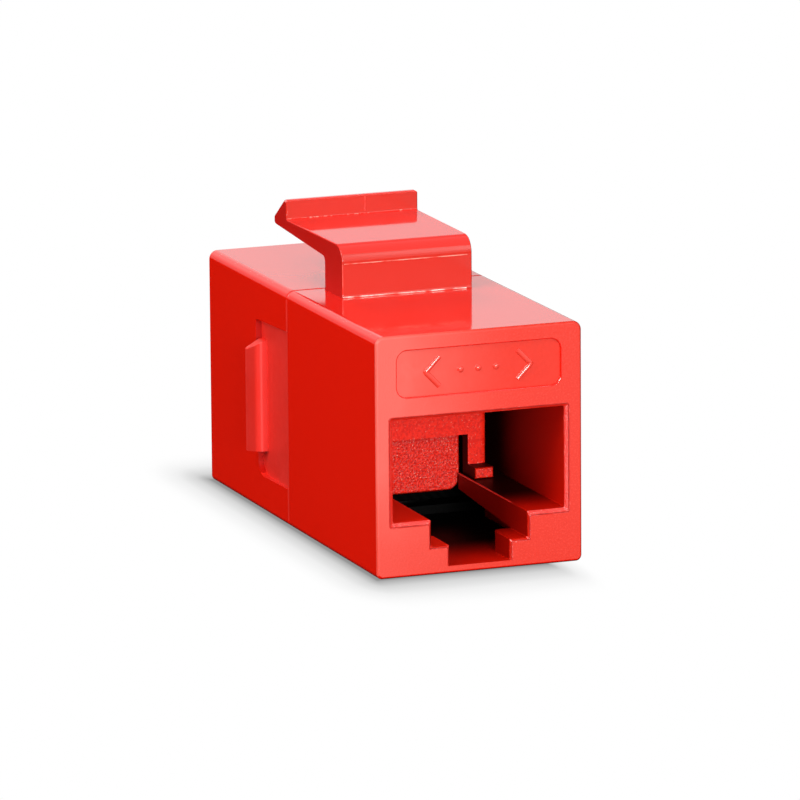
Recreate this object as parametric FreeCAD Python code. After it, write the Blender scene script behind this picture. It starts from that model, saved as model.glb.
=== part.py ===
import FreeCAD, Part
import math
import os
from FreeCAD import Vector

# RJ45 inline coupler, female to female. Millimetres, +Z up, X across, the front mouth faces -Y.
# Each half is modelled with its own mouth at depth 0 and its inside towards +depth, then placed.

# body
body_width = 14.5
body_height = 16.2
body_length = 32.4
seam_depth = 16.75          # length of the front half
top_edge_radius = 0.6
bottom_edge_radius = 0.4
mouth_edge_bevel = 0.17
seam_bevel_front = 0.08
seam_bevel_rear = 0.2      # the rear half's edge is the blunter one at the seam

# plug opening, at its narrow inner edge
port_half = 6.05
port_roof = 10.56
ledge_height = 3.68
notch_half = 3.4
notch_height = 1.9
tab_half = 2.12
tab_floor = 0.5
step_corner = 0.1           # rounding of the notch's corners
port_corner = 0.12          # and of the opening's outer corners
port_corner_open = 0.22     # the same where the bevel meets the face
mouth_bevel_depth = 0.2
mouth_bevel_side = 0.35     # how far the bevel opens beside and below the plug
mouth_bevel_top = 0.245     # above it
mouth_bevel_notch = 0.2     # and round the notch
mouth_lip = 3.1             # thickness of the stepped lip that the plug's tab hooks behind
lip_corner = 0.5            # rounding at the back of the lip, where the tab springs past
shelf_bottom_lip = 1.92     # the ledges are shelves, with an undercut below them that rises inwards
shelf_bottom_end = 2.58
undercut_half = 5.3
shelf_end = 12.6
tunnel_end = 14.7           # depth at which the plug tunnel meets the board chamber

# contact channel above the plug, and the chamber for the board
channel_half = 4.3
channel_roof = 11.75
channel_start = 2.4
chamber_half = 6.05
chamber_floor = 1.1
chamber_roof = 14.9

# collar that joins the halves
collar_length = 1.8
collar_wall = 0.5
collar_rooted = 0.5         # how far it is carried into the front half
fit_gap = 0.06

# label panel, a shallow field above the plug opening
label_half = 5.75
label_bottom = 12.05
label_top = 15.15
label_radius = 0.7
label_depth = 0.18

# spring latch on top of the front half
latch_half = 4.65           # at the leg's front
latch_tip_half = 4.8        # at the lip, which is a little wider
latch_front = 13.05
latch_leg_back = 16.3
arm_top = 19.72
arm_thick_root = 1.3
arm_thick_tip = 0.66
elbow_radius = 1.15
lip_front = 23.45
lip_top = 21.05
lip_tip = 25.8
lip_corner_radius = 0.3     # rounding of the lip's two upper corners
latch_edge_bevel = 0.08
latch_root_radius = 0.2
latch_sunk = 0.4            # how far the latch's leg is carried down into the body
latch_inner_radius = 0.35
lip_crest = 0.4             # length of the lip's flat crest before its long slope
lip_edge = 0.1
lip_root = 0.12
tip_top_radius = 0.2
tip_bottom_radius = 0.25
tip_drop = 0.1              # the arm's top falls this much at its very end

# pocket and snap lug on each side of the rear half, depths measured from the front mouth
pocket_back_top = 22.95
pocket_back_bottom = 22.65
pocket_top_seam = 13.45
pocket_top_back = 13.18
pocket_bottom_seam = 2.6
pocket_bottom_back = 2.45
pocket_depth_seam = 0.1
pocket_depth_back = 0.42
pocket_low_corner = 1.0
pocket_high_corner = 0.25
lug_reach = 0.9             # how far the lug stands out past the body's side
lug_front = 21.55
lug_step = 0.25             # its ramp starts with a short steep step, this far past the side
lug_step_run = 0.15
lug_step_round = 1.2        # the step runs out into the ramp without a visible edge
lug_flat = 0.35             # length of its full height before the catching face
lug_crest_round = 0.15
lug_catch_round = 0.06
lug_bottom = 4.2
lug_top = 11.85
lug_top_fall = 0.62         # drop of the sloped top for each millimetre outwards
lug_rooted = 1.0            # how far it is carried into the side wall

# contact carrier
carrier_front = 11.65
carrier_back = 14.65
lintel_bottom = 6.5
carrier_top = 10.5
leg_inner = 3.7
leg_outer = 5.1
leg_round = 0.4
leg_inner_round = 0.1
foot_front = 10.25
foot_outer = 5.02
foot_height = 0.74
foot_bevel = 0.07
seat_gap = 0.02             # play between the carrier's legs and the ledges they slide along
panel_half = 3.66
panel_front = 12.98
panel_bottom = 2.43
panel_round = 0.9
panel_edge_bevel = 0.12
tongue_half = 4.15
tongue_front = 3.75
tongue_bottom = 10.72
tongue_thick = 0.4
tongue_nose = 0.19          # rounding of its tip, for the contacts to bend round
comb_slot = 0.62
comb_bottom = 8.0
comb_back = 13.0
post_size = 0.9             # square posts that the board stands against
post_inset = 0.1
post_margin = 0.4

# contacts
contact_count = 8
contact_pitch = 1.016
contact_width = 0.46
contact_thick = 0.3
contact_end = 12.4          # depth of the free end
contact_end_height = 8.55
loop_radius = 0.38          # the loop hugs the tip of the carrier's tongue
jog_depth = 15.1
jog_radius = 0.36
pin_stand = 0.18            # how far a contact stands out of the board's far side
upper_row = 11.3
lower_row = 8.76

# board
board_half = 5.9
board_bottom = 1.3
board_top = 13.4
board_front = 15.7
board_thick = 1.0
board_hole = 0.62
board_corner = 0.5

up = Vector(0, 0, 1)
inward = Vector(0, 1, 0)


def block(x0, x1, y0, y1, z0, z1):
    return Part.makeBox(x1 - x0, y1 - y0, z1 - z0, Vector(x0, y0, z0))


def outline(corners, place):
    """A flat face from (u, v, corner radius) points, mapped into space by place(u, v)."""
    edges = []
    count = len(corners)
    entries = []
    exits = []
    for i, (u, v, radius) in enumerate(corners):
        before = corners[i - 1]
        after = corners[(i + 1) % count]
        here = Vector(u, v, 0)
        to_before = (Vector(before[0], before[1], 0) - here).normalize()
        to_after = (Vector(after[0], after[1], 0) - here).normalize()
        half = to_before.getAngle(to_after) / 2
        reach = radius / math.tan(half)
        entries.append(here + to_before * reach)
        exits.append(here + to_after * reach)
        if radius > 0:
            middle = (to_before + to_after).normalize()
            bulge = here + middle * (radius / math.sin(half) - radius)
            points = [place(p.x, p.y) for p in (entries[-1], bulge, exits[-1])]
            edges.append(Part.Arc(*points).toShape())
        else:
            edges.append(None)
    chain = []
    for i in range(count):
        if edges[i]:
            chain.append(edges[i])
        start = exits[i]
        end = entries[(i + 1) % count]
        if (end - start).Length > 1e-6:
            chain.append(Part.LineSegment(place(start.x, start.y), place(end.x, end.y)).toShape())
    return Part.Face(Part.Wire(Part.__sortEdges__(chain)))


def across(corners, half):
    """A solid with the given depth and height profile, as wide as 2 x half."""
    face = outline(corners, lambda u, v: Vector(-half, u, v))
    return face.extrude(Vector(2 * half, 0, 0))


def through(corners, start, end):
    """A solid with the given X and Z section, from depth start to end."""
    face = outline(corners, lambda u, v: Vector(u, start, v))
    return face.extrude(inward * (end - start))


def mirrored(points):
    """Closes a right-hand outline with its left-hand copy."""
    return points + [(-u, v, r) for u, v, r in reversed(points)]


def edges_where(shape, test):
    return [edge for edge in shape.Edges if test(edge)]


def lies_at(edge, axis, value):
    return all(abs(getattr(vertex.Point, axis) - value) < 1e-4 for vertex in edge.Vertexes)


def plug_section(opened):
    """The stepped RJ45 opening; opened 0 is its inner edge and 1 the outer edge of its bevel."""
    side = opened * mouth_bevel_side
    notch = opened * mouth_bevel_notch
    roof = port_roof + opened * mouth_bevel_top
    corner = port_corner + opened * (port_corner_open - port_corner)
    return mirrored([
        (tab_half + notch, tab_floor, step_corner),
        (tab_half + notch, notch_height - notch, step_corner),
        (notch_half + notch, notch_height - notch, step_corner),
        (notch_half + notch, ledge_height - side, step_corner),
        (port_half + side, ledge_height - side, corner),
        (port_half + side, roof, corner),
    ])


def mouth_bevel():
    """The funnel that guides a plug in, from the face down to the opening's inner edge."""
    wires = []
    for opened, depth in ((1, 0.0), (0, mouth_bevel_depth)):
        face = outline(plug_section(opened), lambda u, v: Vector(u, depth, v))
        wires.append(face.OuterWire)
    return Part.makeLoft(wires, True, True)


def body_half(length, seam_bevel):
    """Outer shell of one half with its plug tunnel, contact channel and half of the board chamber."""
    half = body_width / 2
    section = mirrored([(half, 0, bottom_edge_radius), (half, body_height, top_edge_radius)])
    shell = through(section, 0, length)
    shell = shell.makeChamfer(mouth_edge_bevel, edges_where(shell, lambda e: lies_at(e, "y", 0)))
    shell = shell.makeChamfer(seam_bevel, edges_where(shell, lambda e: lies_at(e, "y", length)))
    lip = through(plug_section(0), mouth_bevel_depth, mouth_lip)
    tunnel = block(-port_half, port_half, mouth_lip, tunnel_end, ledge_height, port_roof)
    tab_way = block(-notch_half, notch_half, mouth_lip, shelf_end, tab_floor, ledge_height)
    undercut = across([
        (mouth_lip, tab_floor, 0),
        (shelf_end, tab_floor, 0),
        (shelf_end, shelf_bottom_end, 0),
        (mouth_lip, shelf_bottom_lip, 0),
    ], undercut_half)
    low_room = block(-port_half, port_half, shelf_end, tunnel_end, tab_floor, ledge_height)
    channel = block(-channel_half, channel_half, channel_start, tunnel_end, port_roof, channel_roof)
    chamber = block(-chamber_half, chamber_half, tunnel_end, length, chamber_floor, chamber_roof)
    rounding = [back_of_lip(side) for side in (1, -1)]
    return shell.cut([mouth_bevel(), lip, tunnel, tab_way, undercut, low_room, channel, chamber] + rounding)


def back_of_lip(side):
    """What is rounded off the lip's inner corner, where the plug's tab springs past it."""
    x = side * (tab_half + lip_corner)
    x0, x1 = sorted((side * (tab_half - step_corner), x))
    corner = block(x0, x1, mouth_lip - lip_corner, mouth_lip, tab_floor, notch_height)
    post = Part.makeCylinder(lip_corner, body_height, Vector(x, mouth_lip - lip_corner, 0), up)
    return corner.cut(post)


def collar(grow, start, end):
    """The thin ring between the halves, or with grow the socket that it fits."""
    wall = collar_wall + grow
    outer = block(-chamber_half - wall, chamber_half + wall, start, end,
                  chamber_floor - wall, chamber_roof + wall)
    inner = block(-chamber_half, chamber_half, start, end, chamber_floor, chamber_roof)
    return outer if grow else outer.cut(inner)


def latch():
    """Leg, elbow, tapering arm and hooked lip in one profile."""
    root = body_height - latch_sunk
    under_tip = arm_top - arm_thick_tip
    under_root = arm_top - arm_thick_root
    flare = latch_root_radius
    spring = across([
        (latch_front, body_height, flare),
        (latch_front - flare, body_height, 0),
        (latch_front - flare, root, 0),
        (latch_leg_back + flare, root, 0),
        (latch_leg_back + flare, body_height, 0),
        (latch_leg_back, body_height, flare),
        (latch_leg_back, under_root, latch_inner_radius),
        (lip_tip, under_tip, tip_bottom_radius),
        (lip_tip, arm_top - tip_drop, tip_top_radius),
        (lip_front + lip_crest, lip_top, lip_edge),
        (lip_front, lip_top, lip_edge),
        (lip_front, arm_top, lip_root),
        (latch_front, arm_top, elbow_radius),
    ], latch_tip_half + 1)
    plan = outline([
        (-latch_half, latch_front - flare, 0),
        (latch_half, latch_front - flare, 0),
        (latch_tip_half, lip_tip, 0),
        (-latch_tip_half, lip_tip, 0),
    ], lambda u, v: Vector(u, v, root)).extrude(up * (lip_top - root + 1))
    spring = spring.common(plan)
    rims = edges_where(spring, lambda e: abs(e.CenterOfMass.x) > latch_half - 0.01
                       and e.BoundBox.ZMax > body_height + 0.01)
    spring = spring.makeChamfer(latch_edge_bevel, rims)
    front_view = mirrored([(latch_tip_half, root, 0), (latch_tip_half, lip_top, lip_corner_radius)])
    return spring.common(through(front_view, latch_front - flare, lip_tip))


def front_housing():
    shell = body_half(seam_depth, seam_bevel_front)
    field = mirrored([(label_half, label_bottom, label_radius), (label_half, label_top, label_radius)])
    shell = shell.cut(through(field, -1, label_depth))
    spigot = collar(0, seam_depth - collar_rooted, seam_depth + collar_length)
    return shell.fuse([latch(), spigot]).removeSplitter()


def rear_housing():
    """Built with its seam end at the front mouth's depth scale, so it is turned before it is placed."""
    rear_length = body_length - seam_depth
    shell = body_half(rear_length, seam_bevel_rear)
    shell = shell.cut(collar(fit_gap, rear_length - collar_length - fit_gap, rear_length + 1))
    # from here on in the front half's own depths
    shell.rotate(Vector(0, body_length / 2, 0), up, 180)
    for side in (1, -1):
        shell = shell.cut(pocket(side)).fuse(lug(side))
    return shell.removeSplitter()


def pocket(side):
    """A wedge sunk in the side wall, deepest at its back, with its outline seen from the side."""
    half = body_width / 2
    clear = half + 1
    face = outline([
        (seam_depth - 1, pocket_bottom_seam, 0),
        (pocket_back_bottom, pocket_bottom_back, pocket_low_corner),
        (pocket_back_top, pocket_top_back, pocket_high_corner),
        (seam_depth - 1, pocket_top_seam, 0),
    ], lambda u, v: Vector(side * clear, u, v))
    prism = face.extrude(Vector(-side * 2, 0, 0))
    wedge = outline([
        (side * clear, seam_depth, 0),
        (side * (half - pocket_depth_seam), seam_depth, 0),
        (side * (half - pocket_depth_back), pocket_back_top, 0),
        (side * clear, pocket_back_top, 0),
    ], lambda u, v: Vector(u, v, 0)).extrude(up * body_height)
    return prism.common(wedge)


def lug(side):
    """The snap lug: a ramp that rises towards the back and ends in a square catching face."""
    half = body_width / 2
    ramp = outline([
        (side * (half - lug_rooted), lug_front, 0),
        (side * (half + lug_step), lug_front + lug_step_run, lug_step_round),
        (side * (half + lug_reach), pocket_back_bottom - lug_flat, lug_crest_round),
        (side * (half + lug_reach), pocket_back_bottom, lug_catch_round),
        (side * (half - lug_rooted), pocket_back_bottom, 0),
    ], lambda u, v: Vector(u, v, lug_bottom)).extrude(up * (lug_top - lug_bottom))
    outer = 2 * lug_reach
    top = outline([
        (side * (half - lug_rooted), lug_top + 1, 0),
        (side * (half - lug_rooted), lug_top, 0),
        (side * (half - pocket_depth_seam), lug_top, 0),
        (side * (half + outer), lug_top - lug_top_fall * outer, 0),
        (side * (half + outer), lug_top + 1, 0),
    ], lambda u, v: Vector(u, lug_front - 1, v)).extrude(inward * (pocket_back_bottom - lug_front + 2))
    return ramp.cut(top)


def contact_x(number):
    return (number - (contact_count - 1) / 2) * contact_pitch


def carrier_side(side):
    """One leg with its foot on the ledge, and the two posts behind that the board stands against."""
    ledge_top = ledge_height + seat_gap
    leg_back = shelf_end - 0.05
    leg = outline([
        (side * leg_inner, carrier_front, leg_inner_round),
        (side * leg_outer, carrier_front, leg_round),
        (side * leg_outer, leg_back, 0),
        (side * leg_inner, leg_back, 0),
    ], lambda u, v: Vector(u, v, ledge_top)).extrude(up * (lintel_bottom - ledge_top))
    x0, x1 = sorted((side * leg_inner, side * foot_outer))
    foot = block(x0, x1, foot_front, leg_back, ledge_top, ledge_top + foot_height)
    foot = foot.makeChamfer(foot_bevel, edges_where(foot, lambda e: lies_at(e, "y", foot_front)))
    pieces = [leg, foot]
    x2, x3 = sorted((side * (leg_outer - post_inset), side * (leg_outer - post_inset - post_size)))
    for height in (lintel_bottom + post_margin, carrier_top - post_size - post_margin):
        pieces.append(block(x2, x3, carrier_back, board_front, height, height + post_size))
    return pieces


def contact_carrier():
    """The comb that spaces the contacts, its back panel, and the tongue that carries their loops."""
    lintel = outline(
        mirrored([(leg_outer, carrier_front, leg_round), (leg_outer, carrier_back, 0)]),
        lambda u, v: Vector(u, v, lintel_bottom)).extrude(up * (carrier_top - lintel_bottom))
    panel = through(mirrored([(panel_half, panel_bottom, panel_round), (panel_half, comb_bottom, 0)]),
                    panel_front, carrier_back)
    rim = edges_where(panel, lambda e: lies_at(e, "y", panel_front) and not lies_at(e, "z", comb_bottom))
    panel = panel.makeChamfer(panel_edge_bevel, rim)
    tongue_top = tongue_bottom + tongue_thick
    bridge = block(-tongue_half, tongue_half, carrier_front, carrier_back, carrier_top, tongue_top)
    tongue = across([
        (tongue_front, tongue_bottom, tongue_nose),
        (carrier_back, tongue_bottom, 0),
        (carrier_back, tongue_top, 0),
        (tongue_front, tongue_top, tongue_nose),
    ], tongue_half)
    body = lintel.fuse([panel, bridge, tongue] + carrier_side(1) + carrier_side(-1)).removeSplitter()
    slots = []
    for number in range(contact_count):
        x = contact_x(number)
        slots.append(block(x - comb_slot / 2, x + comb_slot / 2, carrier_front - 1, comb_back,
                           comb_bottom, tongue_bottom))
    return body.cut(slots)


def contact_path(number):
    """From the free end in the comb, forward under the tongue, round its tip and back to the board."""
    x = contact_x(number)
    board_back = board_front + board_thick + pin_stand
    loop_centre = Vector(x, tongue_front + 0.1, upper_row - loop_radius)
    free_end = Vector(x, contact_end, contact_end_height)
    # the straight spring runs off the loop's underside at a tangent
    span = free_end - loop_centre
    tangent = math.atan2(span.z, span.y) - math.acos(loop_radius / span.Length)
    halfway = (tangent - 1.5 * math.pi) / 2
    touch = loop_centre + Vector(0, math.cos(tangent), math.sin(tangent)) * loop_radius
    middle = loop_centre + Vector(0, math.cos(halfway), math.sin(halfway)) * loop_radius
    top = loop_centre + up * loop_radius
    edges = [
        Part.LineSegment(free_end, touch).toShape(),
        Part.Arc(touch, middle, top).toShape(),
    ]
    if number % 2 == 0:
        edges.append(Part.LineSegment(top, Vector(x, board_back, upper_row)).toShape())
        return Part.Wire(edges)
    # every other contact steps down to the lower row of holes
    r = jog_radius
    s = r * math.sin(math.pi / 4)
    a = Vector(x, jog_depth - r, upper_row)
    b = Vector(x, jog_depth, upper_row - r)
    c = Vector(x, jog_depth, lower_row + r)
    d = Vector(x, jog_depth + r, lower_row)
    first_bend = Vector(x, jog_depth - r + s, upper_row - r + s)
    second_bend = Vector(x, jog_depth + r - s, lower_row + r - s)
    edges += [
        Part.LineSegment(top, a).toShape(),
        Part.Arc(a, first_bend, b).toShape(),
        Part.LineSegment(b, c).toShape(),
        Part.Arc(c, second_bend, d).toShape(),
        Part.LineSegment(d, Vector(x, board_back, lower_row)).toShape(),
    ]
    return Part.Wire(edges)


def contact(number):
    """A flat spring strip, bent along its path."""
    path = contact_path(number)
    first = path.Edges[0]
    start = first.Vertexes[0].Point
    along = first.tangentAt(first.FirstParameter)
    side = Vector(contact_width / 2, 0, 0)
    over = along.cross(side).normalize() * (contact_thick / 2)
    corners = [start + side + over, start - side + over, start - side - over, start + side - over]
    section = Part.makePolygon(corners + corners[:1])
    return path.makePipeShell([section], True, False)


def circuit_board():
    board = block(-board_half, board_half, board_front, board_front + board_thick, board_bottom, board_top)
    board = board.makeFillet(board_corner, edges_where(board, lambda e: abs(e.tangentAt(0).y) > 0.99))
    holes = []
    for number in range(contact_count):
        for row in (upper_row, lower_row):
            holes.append(Part.makeCylinder(board_hole / 2, board_thick + 2,
                                           Vector(contact_x(number), board_front - 1, row), inward))
    return board.cut(holes)


def place(shape, rear=False):
    """Moves a piece from depths to the coupler's own frame, turned end for end when it is at the rear."""
    placed = shape.copy()
    placed.translate(Vector(0, -body_length / 2, 0))
    if rear:
        placed.rotate(Vector(0, 0, 0), up, 180)
    return placed


def build():
    carrier = contact_carrier()
    pieces = {
        "front_housing": place(front_housing()),
        "rear_housing": place(rear_housing()),
        "front_contact_carrier": place(carrier),
        "rear_contact_carrier": place(carrier, rear=True),
        "circuit_board": place(circuit_board()),
    }
    for number in range(contact_count):
        strip = contact(number)
        pieces[f"front_contact_{number + 1}"] = place(strip)
        pieces[f"rear_contact_{number + 1}"] = place(strip, rear=True)
    return pieces


os.makedirs("parts", exist_ok=True)
for name, shape in build().items():
    shape.exportStep(os.path.join("parts", name + ".step"))
    print(f"{name:24s} valid {shape.isValid()} solids {len(shape.Solids)} volume {shape.Volume:.2f}")
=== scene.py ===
import bpy
import bmesh
import math
from mathutils import Matrix, Vector, noise


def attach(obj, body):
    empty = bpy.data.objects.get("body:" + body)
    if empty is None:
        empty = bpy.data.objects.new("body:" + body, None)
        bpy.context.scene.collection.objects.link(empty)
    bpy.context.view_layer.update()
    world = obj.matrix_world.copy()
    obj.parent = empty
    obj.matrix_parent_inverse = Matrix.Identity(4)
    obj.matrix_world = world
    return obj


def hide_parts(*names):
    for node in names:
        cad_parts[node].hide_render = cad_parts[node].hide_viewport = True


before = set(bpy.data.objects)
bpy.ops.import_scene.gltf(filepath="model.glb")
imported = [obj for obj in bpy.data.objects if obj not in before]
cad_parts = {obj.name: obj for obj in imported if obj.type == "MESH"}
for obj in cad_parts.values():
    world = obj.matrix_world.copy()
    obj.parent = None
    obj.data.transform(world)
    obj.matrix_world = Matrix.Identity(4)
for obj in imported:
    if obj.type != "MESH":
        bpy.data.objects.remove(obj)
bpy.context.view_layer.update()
mm = 0.001
perMetre = 1000.0               # millimetres in a metre, for the node trees

# sizes that several pieces share, in millimetres
coupler = {
    "length": 32.4,
    "halfWide": 7.25,
    "height": 16.2,
    "labelDepth": 0.18,
    "portHalf": 6.06,
    "innerLow": 0.4,
    "innerHigh": 14.95,
}
halfLength = coupler["length"] / 2


# mesh helpers

mending = {
    "mergeWithin": 0.0008,
    "flatWithin": 0.6,          # degrees
    "regionWithin": 0.7,        # degrees: faces that turn less than this are one flat region
    "squareFrom": 50,           # degrees
}


def newObject(name, mesh):
    piece = bpy.data.objects.new(name, mesh)
    bpy.context.scene.collection.objects.link(piece)
    return piece


def cadCopy(node):
    # the node's loose triangles, merged and with its flat faces made whole again
    work = bmesh.new()
    work.from_mesh(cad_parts[node].data)
    bmesh.ops.remove_doubles(work, verts=work.verts, dist=mending["mergeWithin"] * mm)
    bmesh.ops.dissolve_limit(work, angle_limit=math.radians(mending["flatWithin"]),
                             verts=work.verts, edges=work.edges)
    return work


def finishMesh(work, name, materials):
    mesh = bpy.data.meshes.new(name)
    work.to_mesh(mesh)
    work.free()
    for material in materials:
        mesh.materials.append(material)
    return newObject(name, mesh)


def roundEdges(work, width, wanted):
    # a small radius on the square edges that wanted() picks
    square = math.radians(mending["squareFrom"])
    edges = [edge for edge in work.edges
             if len(edge.link_faces) == 2 and edge.calc_face_angle(0) > square and wanted(edge)]
    if edges:
        bmesh.ops.bevel(work, geom=edges, offset=width * mm, segments=2, profile=0.5,
                        affect="EDGES", clamp_overlap=False, loop_slide=True)


def between(edge, axis, low, high):
    return all(low * mm <= vert.co[axis] <= high * mm for vert in edge.verts)


def facesByEdge(mesh):
    facesAt = {}
    for poly in mesh.polygons:
        for key in poly.edge_keys:
            facesAt.setdefault(key, []).append(poly)
    return facesAt


def flatRegions(mesh, facesAt):
    # numbers every face by the flat region it belongs to
    limit = math.radians(mending["regionWithin"])
    region = [-1] * len(mesh.polygons)
    count = 0
    for start in range(len(region)):
        if region[start] >= 0:
            continue
        region[start] = count
        todo = [start]
        while todo:
            here = mesh.polygons[todo.pop()]
            for key in here.edge_keys:
                for other in facesAt[key]:
                    if region[other.index] < 0 and here.normal.angle(other.normal, 0) < limit:
                        region[other.index] = count
                        todo.append(other.index)
        count += 1
    return region, count


def faceNormals(piece, sharpFrom=50, flatWidth=0.42, ownNormal=None):
    # wide flat regions keep their own normal up to their edges, and narrow bevels shade as round
    mesh = piece.data
    facesAt = facesByEdge(mesh)
    region, count = flatRegions(mesh, facesAt)
    area = [0.0] * count
    rim = [0.0] * count
    around = [[] for vert in mesh.vertices]
    for poly in mesh.polygons:
        area[region[poly.index]] += poly.area
        poly.use_smooth = True
        for vert in poly.vertices:
            around[vert].append(poly)
    for (first, second), faces in facesAt.items():
        span = (mesh.vertices[first].co - mesh.vertices[second].co).length
        for face in faces:
            if len(faces) == 1 or any(region[other.index] != region[face.index] for other in faces):
                rim[region[face.index]] += span
    wide = [2 * area[k] / max(rim[k], 1e-9) > flatWidth * mm for k in range(count)]
    limit = math.radians(sharpFrom)

    def cornerNormal(poly, vertex):
        # the face's own normal, or the widest flat neighbour's, or the average over the bevel
        if wide[region[poly.index]]:
            return poly.normal.copy()
        near = [other for other in around[vertex] if poly.normal.angle(other.normal, 0) < limit]
        broad = [other for other in near if wide[region[other.index]]]
        if broad:
            return max(broad, key=lambda other: area[region[other.index]]).normal.copy()
        return sum((other.normal * other.area for other in near), Vector()).normalized()

    normals = [None] * len(mesh.loops)
    for poly in mesh.polygons:
        for corner in poly.loop_indices:
            vertex = mesh.loops[corner].vertex_index
            normals[corner] = cornerNormal(poly, vertex)
            if ownNormal:
                normals[corner] = ownNormal(poly, mesh.vertices[vertex].co, normals[corner])
    mesh.normals_split_custom_set(normals)


def keepOn(piece, slot, *nodes):
    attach(piece, "root")
    if nodes:
        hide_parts(*nodes)
    return piece


def finishPiece(work, name, materials, slot, *nodes, **shading):
    piece = finishMesh(work, name, materials)
    faceNormals(piece, **shading)
    return keepOn(piece, slot, *nodes)


# node helpers

def addNode(tree, kind, sockets=None, **settings):
    # each input, by its name or number, is linked to the socket or the node's first output that it is given,
    # or else set to the value
    row, column = divmod(len(tree.nodes), 6)
    node = tree.nodes.new(kind)
    node.location = (column * 220, -row * 300)
    for key, value in settings.items():
        setattr(node, key, value)
    for key, value in (sockets or {}).items():
        if isinstance(value, bpy.types.Node):
            value = value.outputs[0]
        if isinstance(value, bpy.types.NodeSocket):
            tree.links.new(value, node.inputs[key])
        else:
            node.inputs[key].default_value = value
    return node


def maths(tree, operation, first, second=0.0, clamp=False):
    return addNode(tree, "ShaderNodeMath", {0: first, 1: second}, operation=operation, use_clamp=clamp)


def mapRange(tree, value, fromMin, fromMax, toMin=0.0, toMax=1.0, curve="LINEAR"):
    return addNode(tree, "ShaderNodeMapRange", {
        "Value": value, "From Min": fromMin, "From Max": fromMax,
        "To Min": toMin, "To Max": toMax}, interpolation_type=curve)


def noiseAt(tree, place, scale, detail=2.0, roughness=0.5):
    return addNode(tree, "ShaderNodeTexNoise", {
        "Vector": place, "Scale": scale, "Detail": detail, "Roughness": roughness})


def mixColour(tree, factor, first, second):
    node = addNode(tree, "ShaderNodeMix", {"Factor": factor, "A": first, "B": second}, data_type="RGBA")
    return node.outputs["Result"]


def bump(tree, height, depth):
    return addNode(tree, "ShaderNodeBump", {"Distance": depth * mm, "Height": height})


def placed(tree, group, sockets=None):
    return addNode(tree, "ShaderNodeGroup", sockets, node_tree=group)


def objectPlace(tree):
    return addNode(tree, "ShaderNodeTexCoord").outputs["Object"]


def axesOf(tree, place):
    return addNode(tree, "ShaderNodeSeparateXYZ", {0: place}).outputs


def addSocket(tree, name, way, kind="Float", value=None, low=None, high=None):
    socket = tree.interface.new_socket(name=name, in_out=way, socket_type="NodeSocket" + kind)
    if value is not None:
        socket.default_value = value
    if low is not None:
        socket.min_value = low
        socket.max_value = high


def newGroup(name, inputs, outputs):
    # a shader group of plain numbers, with each input's value, lowest and highest
    group = bpy.data.node_groups.new(name, "ShaderNodeTree")
    for label, limits in inputs.items():
        addSocket(group, label, "INPUT", "Float", *limits)
    for label in outputs:
        addSocket(group, label, "OUTPUT")
    return group, addNode(group, "NodeGroupInput").outputs, objectPlace(group)


def newMaterial(name):
    material = bpy.data.materials.new(name)
    material.use_nodes = True
    material.node_tree.nodes.clear()
    return material, material.node_tree


def finishMaterial(material, sockets):
    tree = material.node_tree
    addNode(tree, "ShaderNodeOutputMaterial", {"Surface": addNode(tree, "ShaderNodeBsdfPrincipled", sockets)})
    return material


# shader groups: sizes in millimetres, the rest as shares

def buildSparkGrain():
    # the pebbled skin that a spark-eroded mould leaves: rounded grains and small pits, and a mask of the
    # highest grains that the materials colour paler
    group, entry, place = newGroup("sparkGrain", {
        "Grain Size": (0.12, 0.01, 2.0), "Speck And Glint Share": (0.2, 0.0, 1.0)}, ["Height", "Specks And Glints"])
    scale = maths(group, "DIVIDE", perMetre, entry["Grain Size"])
    grains = noiseAt(group, place, scale, detail=3.0, roughness=0.6)
    pits = addNode(group, "ShaderNodeTexVoronoi", {"Vector": place, "Scale": scale})
    pitDepth = maths(group, "MULTIPLY", pits, 0.5)
    limit = maths(group, "SUBTRACT", 1.0, entry["Speck And Glint Share"])
    over = maths(group, "SUBTRACT", grains, limit)
    addNode(group, "NodeGroupOutput", {
        "Height": maths(group, "ADD", grains, pitDepth),
        "Specks And Glints": maths(group, "MULTIPLY", over, 10.0, clamp=True)})    # full a tenth above the limit
    return group


def buildMouldSkin():
    # what a polished mould leaves: faint flow waves, tiny dust dimples and uneven gloss
    group, entry, place = newGroup("mouldSkin", {
        "Wave Size": (4.0, 0.1, 50.0), "Gloss From": (0.06, 0.0, 1.0), "Gloss To": (0.12, 0.0, 1.0)},
        ["Height", "Roughness"])
    waves = noiseAt(group, place, maths(group, "DIVIDE", perMetre, entry["Wave Size"]))
    dustHeight = maths(group, "MULTIPLY", noiseAt(group, place, scale=2600.0, detail=1.0), 0.06)
    addNode(group, "NodeGroupOutput", {
        "Height": maths(group, "ADD", waves, dustHeight),
        "Roughness": mapRange(group, waves, fromMin=0.3, fromMax=0.7,
                              toMin=entry["Gloss From"], toMax=entry["Gloss To"])})
    return group


def buildDeepShade():
    # painted shade: the red is full at the mouths and darkens towards the middle of the coupler's length
    group, entry, place = newGroup("deepShade", {
        "Starts At": (1.0, 0.0, 20.0), "Ends At": (10.0, 0.0, 20.0),
        "At Mouth": (1.0, 0.0, 1.0), "Left Over": (0.1, 0.0, 1.0)}, ["Light"])
    along = maths(group, "ABSOLUTE", axesOf(group, place)["Y"])
    depth = maths(group, "SUBTRACT", halfLength, maths(group, "MULTIPLY", along, perMetre))
    addNode(group, "NodeGroupOutput", {"Light": mapRange(
        group, depth, entry["Starts At"], entry["Ends At"],
        entry["At Mouth"], entry["Left Over"], "SMOOTHSTEP")})
    return group


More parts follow.
